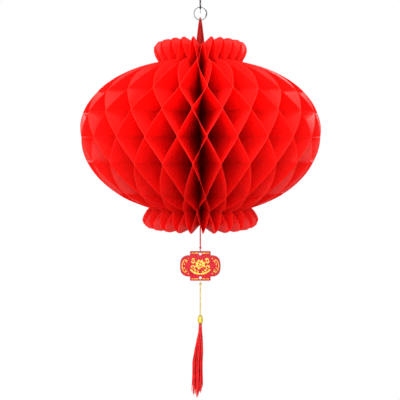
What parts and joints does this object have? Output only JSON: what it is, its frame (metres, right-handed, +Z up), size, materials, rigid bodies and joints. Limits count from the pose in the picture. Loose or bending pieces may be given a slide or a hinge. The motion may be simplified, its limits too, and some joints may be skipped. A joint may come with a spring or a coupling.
{
  "type": "honeycomb hanging lantern",
  "caption": "Round honeycomb paper hanging lantern on a wire hook, with a card tag and a tassel below; it opens from a flat booklet like a fan.",
  "frame": {"origin": "inside top of the hook, where it rests on what carries it", "axes": "+Z up, -Y towards the front, +Y towards the seam between the covers"},
  "size_m": [0.2594, 0.2596, 0.4657],
  "materials": {
    "leaf_paper": "glossy waterproof plastic paper",
    "cover_card": "stiff card with a glossy red face",
    "spine_paper": "glued paper edges",
    "steel_wire": "bright drawn wire",
    "red_thread": "twisted cord",
    "gold_thread": "twisted metallic cord",
    "tag_card": "coated card with gold foil",
    "bead": "moulded plastic",
    "tassel_binding": "wound thread",
    "tassel_yarn": "soft rayon strands"
  },
  "bodies": {
    "hook": {"hanging_hook": "steel_wire"},
    "ring": {"split_ring": "steel_wire"},
    "spine": {"cover_left": "cover_card", "spine_core": "spine_paper", "spine_knot": "red_thread"},
    "leaf_01": {"leaf_01": "leaf_paper"},
    "leaf_02": {"leaf_02": "leaf_paper"},
    "leaf_03": {"leaf_03": "leaf_paper"},
    "leaf_04": {"leaf_04": "leaf_paper"},
    "leaf_05": {"leaf_05": "leaf_paper"},
    "leaf_06": {"leaf_06": "leaf_paper"},
    "leaf_07": {"leaf_07": "leaf_paper"},
    "leaf_08": {"leaf_08": "leaf_paper"},
    "leaf_09": {"leaf_09": "leaf_paper"},
    "leaf_10": {"leaf_10": "leaf_paper"},
    "leaf_11": {"leaf_11": "leaf_paper"},
    "leaf_12": {"leaf_12": "leaf_paper"},
    "leaf_13": {"leaf_13": "leaf_paper"},
    "leaf_14": {"leaf_14": "leaf_paper"},
    "leaf_15": {"leaf_15": "leaf_paper"},
    "leaf_16": {"leaf_16": "leaf_paper"},
    "leaf_17": {"leaf_17": "leaf_paper"},
    "leaf_18": {"leaf_18": "leaf_paper"},
    "leaf_19": {"leaf_19": "leaf_paper"},
    "leaf_20": {"leaf_20": "leaf_paper"},
    "leaf_21": {"leaf_21": "leaf_paper"},
    "leaf_22": {"leaf_22": "leaf_paper"},
    "leaf_23": {"leaf_23": "leaf_paper"},
    "leaf_24": {"leaf_24": "leaf_paper"},
    "leaf_25": {"leaf_25": "leaf_paper"},
    "leaf_26": {"leaf_26": "leaf_paper"},
    "leaf_27": {"leaf_27": "leaf_paper"},
    "leaf_28": {"leaf_28": "leaf_paper"},
    "leaf_29": {"leaf_29": "leaf_paper"},
    "leaf_30": {"leaf_30": "leaf_paper"},
    "leaf_31": {"leaf_31": "leaf_paper"},
    "leaf_32": {"leaf_32": "leaf_paper"},
    "leaf_33": {"leaf_33": "leaf_paper"},
    "leaf_34": {"leaf_34": "leaf_paper"},
    "leaf_35": {"leaf_35": "leaf_paper"},
    "leaf_36": {"leaf_36": "leaf_paper"},
    "leaf_37": {"leaf_37": "leaf_paper"},
    "leaf_38": {"leaf_38": "leaf_paper"},
    "leaf_39": {"leaf_39": "leaf_paper"},
    "leaf_40": {"leaf_40": "leaf_paper"},
    "leaf_41": {"leaf_41": "leaf_paper"},
    "leaf_42": {"leaf_42": "leaf_paper"},
    "leaf_43": {"leaf_43": "leaf_paper"},
    "leaf_44": {"leaf_44": "leaf_paper"},
    "leaf_45": {"leaf_45": "leaf_paper"},
    "leaf_46": {"leaf_46": "leaf_paper"},
    "cover_right": {"cover_right": "cover_card"},
    "cord": {"red_cord": "red_thread"},
    "tag": {"tag_loop": "red_thread", "tag_card": "tag_card"},
    "tassel": {"gold_loop": "gold_thread", "gold_cord": "gold_thread", "bead": "bead", "tassel_binding": "tassel_binding", "tassel_skirt": "tassel_yarn"}
  },
  "joints": [
    {"name": "ring_swing", "type": "hinge", "parent": "hook", "child": "ring", "pos_m": [0, 0, -0.0331], "axis": [0, 1, 0], "range_deg": [-40, 40]},
    {"name": "lantern_swing", "type": "hinge", "parent": "ring", "child": "spine", "pos_m": [0, 0, -0.0452], "axis": [1, 0, 0], "range_deg": [-25, 25]},
    {"name": "fold", "type": "hinge", "parent": "spine", "child": "cover_right", "pos_m": [0, -0.0066, -0.1747], "axis": [0, 0, 1], "range_deg": [-311.6, 0]},
    {"name": "leaf_01_fold", "type": "hinge", "parent": "spine", "child": "leaf_01", "pos_m": [0, -0.0066, -0.1747], "axis": [0, 0, 1], "range_deg": [-2.34, 0]},
    {"name": "leaf_02_fold", "type": "hinge", "parent": "spine", "child": "leaf_02", "pos_m": [0, -0.0066, -0.1747], "axis": [0, 0, 1], "range_deg": [-8.13, 0]},
    {"name": "leaf_03_fold", "type": "hinge", "parent": "spine", "child": "leaf_03", "pos_m": [0, -0.0066, -0.1747], "axis": [0, 0, 1], "range_deg": [-14.14, 0]},
    {"name": "leaf_04_fold", "type": "hinge", "parent": "spine", "child": "leaf_04", "pos_m": [0, -0.0066, -0.1747], "axis": [0, 0, 1], "range_deg": [-20.44, 0]},
    {"name": "leaf_05_fold", "type": "hinge", "parent": "spine", "child": "leaf_05", "pos_m": [0, -0.0066, -0.1747], "axis": [0, 0, 1], "range_deg": [-27.06, 0]},
    {"name": "leaf_06_fold", "type": "hinge", "parent": "spine", "child": "leaf_06", "pos_m": [0, -0.0066, -0.1747], "axis": [0, 0, 1], "range_deg": [-34.03, 0]},
    {"name": "leaf_07_fold", "type": "hinge", "parent": "spine", "child": "leaf_07", "pos_m": [0, -0.0066, -0.1747], "axis": [0, 0, 1], "range_deg": [-41.34, 0]},
    {"name": "leaf_08_fold", "type": "hinge", "parent": "spine", "child": "leaf_08", "pos_m": [0, -0.0066, -0.1747], "axis": [0, 0, 1], "range_deg": [-48.97, 0]},
    {"name": "leaf_09_fold", "type": "hinge", "parent": "spine", "child": "leaf_09", "pos_m": [0, -0.0066, -0.1747], "axis": [0, 0, 1], "range_deg": [-56.87, 0]},
    {"name": "leaf_10_fold", "type": "hinge", "parent": "spine", "child": "leaf_10", "pos_m": [0, -0.0066, -0.1747], "axis": [0, 0, 1], "range_deg": [-64.97, 0]},
    {"name": "leaf_11_fold", "type": "hinge", "parent": "spine", "child": "leaf_11", "pos_m": [0, -0.0066, -0.1747], "axis": [0, 0, 1], "range_deg": [-73.18, 0]},
    {"name": "leaf_12_fold", "type": "hinge", "parent": "spine", "child": "leaf_12", "pos_m": [0, -0.0066, -0.1747], "axis": [0, 0, 1], "range_deg": [-81.43, 0]},
    {"name": "leaf_13_fold", "type": "hinge", "parent": "spine", "child": "leaf_13", "pos_m": [0, -0.0066, -0.1747], "axis": [0, 0, 1], "range_deg": [-89.62, 0]},
    {"name": "leaf_14_fold", "type": "hinge", "parent": "spine", "child": "leaf_14", "pos_m": [0, -0.0066, -0.1747], "axis": [0, 0, 1], "range_deg": [-97.65, 0]},
    {"name": "leaf_15_fold", "type": "hinge", "parent": "spine", "child": "leaf_15", "pos_m": [0, -0.0066, -0.1747], "axis": [0, 0, 1], "range_deg": [-105.46, 0]},
    {"name": "leaf_16_fold", "type": "hinge", "parent": "spine", "child": "leaf_16", "pos_m": [0, -0.0066, -0.1747], "axis": [0, 0, 1], "range_deg": [-112.97, 0]},
    {"name": "leaf_17_fold", "type": "hinge", "parent": "spine", "child": "leaf_17", "pos_m": [0, -0.0066, -0.1747], "axis": [0, 0, 1], "range_deg": [-120.14, 0]},
    {"name": "leaf_18_fold", "type": "hinge", "parent": "spine", "child": "leaf_18", "pos_m": [0, -0.0066, -0.1747], "axis": [0, 0, 1], "range_deg": [-126.94, 0]},
    {"name": "leaf_19_fold", "type": "hinge", "parent": "spine", "child": "leaf_19", "pos_m": [0, -0.0066, -0.1747], "axis": [0, 0, 1], "range_deg": [-133.38, 0]},
    {"name": "leaf_20_fold", "type": "hinge", "parent": "spine", "child": "leaf_20", "pos_m": [0, -0.0066, -0.1747], "axis": [0, 0, 1], "range_deg": [-139.47, 0]},
    {"name": "leaf_21_fold", "type": "hinge", "parent": "spine", "child": "leaf_21", "pos_m": [0, -0.0066, -0.1747], "axis": [0, 0, 1], "range_deg": [-145.27, 0]},
    {"name": "leaf_22_fold", "type": "hinge", "parent": "spine", "child": "leaf_22", "pos_m": [0, -0.0066, -0.1747], "axis": [0, 0, 1], "range_deg": [-150.83, 0]},
    {"name": "leaf_23_fold", "type": "hinge", "parent": "spine", "child": "leaf_23", "pos_m": [0, -0.0066, -0.1747], "axis": [0, 0, 1], "range_deg": [-156.23, 0]},
    {"name": "leaf_24_fold", "type": "hinge", "parent": "spine", "child": "leaf_24", "pos_m": [0, -0.0066, -0.1747], "axis": [0, 0, 1], "range_deg": [-161.56, 0]},
    {"name": "leaf_25_fold", "type": "hinge", "parent": "spine", "child": "leaf_25", "pos_m": [0, -0.0066, -0.1747], "axis": [0, 0, 1], "range_deg": [-166.91, 0]},
    {"name": "leaf_26_fold", "type": "hinge", "parent": "spine", "child": "leaf_26", "pos_m": [0, -0.0066, -0.1747], "axis": [0, 0, 1], "range_deg": [-172.37, 0]},
    {"name": "leaf_27_fold", "type": "hinge", "parent": "spine", "child": "leaf_27", "pos_m": [0, -0.0066, -0.1747], "axis": [0, 0, 1], "range_deg": [-178.02, 0]},
    {"name": "leaf_28_fold", "type": "hinge", "parent": "spine", "child": "leaf_28", "pos_m": [0, -0.0066, -0.1747], "axis": [0, 0, 1], "range_deg": [-183.92, 0]},
    {"name": "leaf_29_fold", "type": "hinge", "parent": "spine", "child": "leaf_29", "pos_m": [0, -0.0066, -0.1747], "axis": [0, 0, 1], "range_deg": [-190.13, 0]},
    {"name": "leaf_30_fold", "type": "hinge", "parent": "spine", "child": "leaf_30", "pos_m": [0, -0.0066, -0.1747], "axis": [0, 0, 1], "range_deg": [-196.67, 0]},
    {"name": "leaf_31_fold", "type": "hinge", "parent": "spine", "child": "leaf_31", "pos_m": [0, -0.0066, -0.1747], "axis": [0, 0, 1], "range_deg": [-203.53, 0]},
    {"name": "leaf_32_fold", "type": "hinge", "parent": "spine", "child": "leaf_32", "pos_m": [0, -0.0066, -0.1747], "axis": [0, 0, 1], "range_deg": [-210.72, 0]},
    {"name": "leaf_33_fold", "type": "hinge", "parent": "spine", "child": "leaf_33", "pos_m": [0, -0.0066, -0.1747], "axis": [0, 0, 1], "range_deg": [-218.17, 0]},
    {"name": "leaf_34_fold", "type": "hinge", "parent": "spine", "child": "leaf_34", "pos_m": [0, -0.0066, -0.1747], "axis": [0, 0, 1], "range_deg": [-225.84, 0]},
    {"name": "leaf_35_fold", "type": "hinge", "parent": "spine", "child": "leaf_35", "pos_m": [0, -0.0066, -0.1747], "axis": [0, 0, 1], "range_deg": [-233.65, 0]},
    {"name": "leaf_36_fold", "type": "hinge", "parent": "spine", "child": "leaf_36", "pos_m": [0, -0.0066, -0.1747], "axis": [0, 0, 1], "range_deg": [-241.52, 0]},
    {"name": "leaf_37_fold", "type": "hinge", "parent": "spine", "child": "leaf_37", "pos_m": [0, -0.0066, -0.1747], "axis": [0, 0, 1], "range_deg": [-249.36, 0]},
    {"name": "leaf_38_fold", "type": "hinge", "parent": "spine", "child": "leaf_38", "pos_m": [0, -0.0066, -0.1747], "axis": [0, 0, 1], "range_deg": [-257.09, 0]},
    {"name": "leaf_39_fold", "type": "hinge", "parent": "spine", "child": "leaf_39", "pos_m": [0, -0.0066, -0.1747], "axis": [0, 0, 1], "range_deg": [-264.64, 0]},
    {"name": "leaf_40_fold", "type": "hinge", "parent": "spine", "child": "leaf_40", "pos_m": [0, -0.0066, -0.1747], "axis": [0, 0, 1], "range_deg": [-271.94, 0]},
    {"name": "leaf_41_fold", "type": "hinge", "parent": "spine", "child": "leaf_41", "pos_m": [0, -0.0066, -0.1747], "axis": [0, 0, 1], "range_deg": [-278.95, 0]},
    {"name": "leaf_42_fold", "type": "hinge", "parent": "spine", "child": "leaf_42", "pos_m": [0, -0.0066, -0.1747], "axis": [0, 0, 1], "range_deg": [-285.65, 0]},
    {"name": "leaf_43_fold", "type": "hinge", "parent": "spine", "child": "leaf_43", "pos_m": [0, -0.0066, -0.1747], "axis": [0, 0, 1], "range_deg": [-292.05, 0]},
    {"name": "leaf_44_fold", "type": "hinge", "parent": "spine", "child": "leaf_44", "pos_m": [0, -0.0066, -0.1747], "axis": [0, 0, 1], "range_deg": [-298.16, 0]},
    {"name": "leaf_45_fold", "type": "hinge", "parent": "spine", "child": "leaf_45", "pos_m": [0, -0.0066, -0.1747], "axis": [0, 0, 1], "range_deg": [-304.02, 0]},
    {"name": "leaf_46_fold", "type": "hinge", "parent": "spine", "child": "leaf_46", "pos_m": [0, -0.0066, -0.1747], "axis": [0, 0, 1], "range_deg": [-309.71, 0]},
    {"name": "cord_swing", "type": "hinge", "parent": "spine", "child": "cord", "pos_m": [0, -0.0066, -0.2645], "axis": [1, 0, 0], "range_deg": [-18, 18]},
    {"name": "tag_twist", "type": "hinge", "parent": "cord", "child": "tag", "pos_m": [0, -0.0066, -0.2962], "axis": [0, 0, 1], "range_deg": [-90, 90]},
    {"name": "tassel_swing", "type": "hinge", "parent": "tag", "child": "tassel", "pos_m": [0, -0.0066, -0.3312], "axis": [0, 1, 0], "range_deg": [-35, 35]}
  ],
  "couplings": [
    {"joint": "leaf_01_fold", "follows": "fold", "ratio": 0.00687},
    {"joint": "leaf_02_fold", "follows": "fold", "ratio": 0.02544},
    {"joint": "leaf_03_fold", "follows": "fold", "ratio": 0.04473},
    {"joint": "leaf_04_fold", "follows": "fold", "ratio": 0.06494},
    {"joint": "leaf_05_fold", "follows": "fold", "ratio": 0.0862},
    {"joint": "leaf_06_fold", "follows": "fold", "ratio": 0.10857},
    {"joint": "leaf_07_fold", "follows": "fold", "ratio": 0.13204},
    {"joint": "leaf_08_fold", "follows": "fold", "ratio": 0.15652},
    {"joint": "leaf_09_fold", "follows": "fold", "ratio": 0.18186},
    {"joint": "leaf_10_fold", "follows": "fold", "ratio": 0.20785},
    {"joint": "leaf_11_fold", "follows": "fold", "ratio": 0.23422},
    {"joint": "leaf_12_fold", "follows": "fold", "ratio": 0.26069},
    {"joint": "leaf_13_fold", "follows": "fold", "ratio": 0.28696},
    {"joint": "leaf_14_fold", "follows": "fold", "ratio": 0.31275},
    {"joint": "leaf_15_fold", "follows": "fold", "ratio": 0.3378},
    {"joint": "leaf_16_fold", "follows": "fold", "ratio": 0.3619},
    {"joint": "leaf_17_fold", "follows": "fold", "ratio": 0.38491},
    {"joint": "leaf_18_fold", "follows": "fold", "ratio": 0.40675},
    {"joint": "leaf_19_fold", "follows": "fold", "ratio": 0.42741},
    {"joint": "leaf_20_fold", "follows": "fold", "ratio": 0.44696},
    {"joint": "leaf_21_fold", "follows": "fold", "ratio": 0.46556},
    {"joint": "leaf_22_fold", "follows": "fold", "ratio": 0.4834},
    {"joint": "leaf_23_fold", "follows": "fold", "ratio": 0.50073},
    {"joint": "leaf_24_fold", "follows": "fold", "ratio": 0.51784},
    {"joint": "leaf_25_fold", "follows": "fold", "ratio": 0.53501},
    {"joint": "leaf_26_fold", "follows": "fold", "ratio": 0.55254},
    {"joint": "leaf_27_fold", "follows": "fold", "ratio": 0.57067},
    {"joint": "leaf_28_fold", "follows": "fold", "ratio": 0.58961},
    {"joint": "leaf_29_fold", "follows": "fold", "ratio": 0.60953},
    {"joint": "leaf_30_fold", "follows": "fold", "ratio": 0.63051},
    {"joint": "leaf_31_fold", "follows": "fold", "ratio": 0.65255},
    {"joint": "leaf_32_fold", "follows": "fold", "ratio": 0.6756},
    {"joint": "leaf_33_fold", "follows": "fold", "ratio": 0.69953},
    {"joint": "leaf_34_fold", "follows": "fold", "ratio": 0.72414},
    {"joint": "leaf_35_fold", "follows": "fold", "ratio": 0.74921},
    {"joint": "leaf_36_fold", "follows": "fold", "ratio": 0.77446},
    {"joint": "leaf_37_fold", "follows": "fold", "ratio": 0.79962},
    {"joint": "leaf_38_fold", "follows": "fold", "ratio": 0.82443},
    {"joint": "leaf_39_fold", "follows": "fold", "ratio": 0.84865},
    {"joint": "leaf_40_fold", "follows": "fold", "ratio": 0.87208},
    {"joint": "leaf_41_fold", "follows": "fold", "ratio": 0.89458},
    {"joint": "leaf_42_fold", "follows": "fold", "ratio": 0.91609},
    {"joint": "leaf_43_fold", "follows": "fold", "ratio": 0.93661},
    {"joint": "leaf_44_fold", "follows": "fold", "ratio": 0.95621},
    {"joint": "leaf_45_fold", "follows": "fold", "ratio": 0.97504},
    {"joint": "leaf_46_fold", "follows": "fold", "ratio": 0.99329}
  ]
}
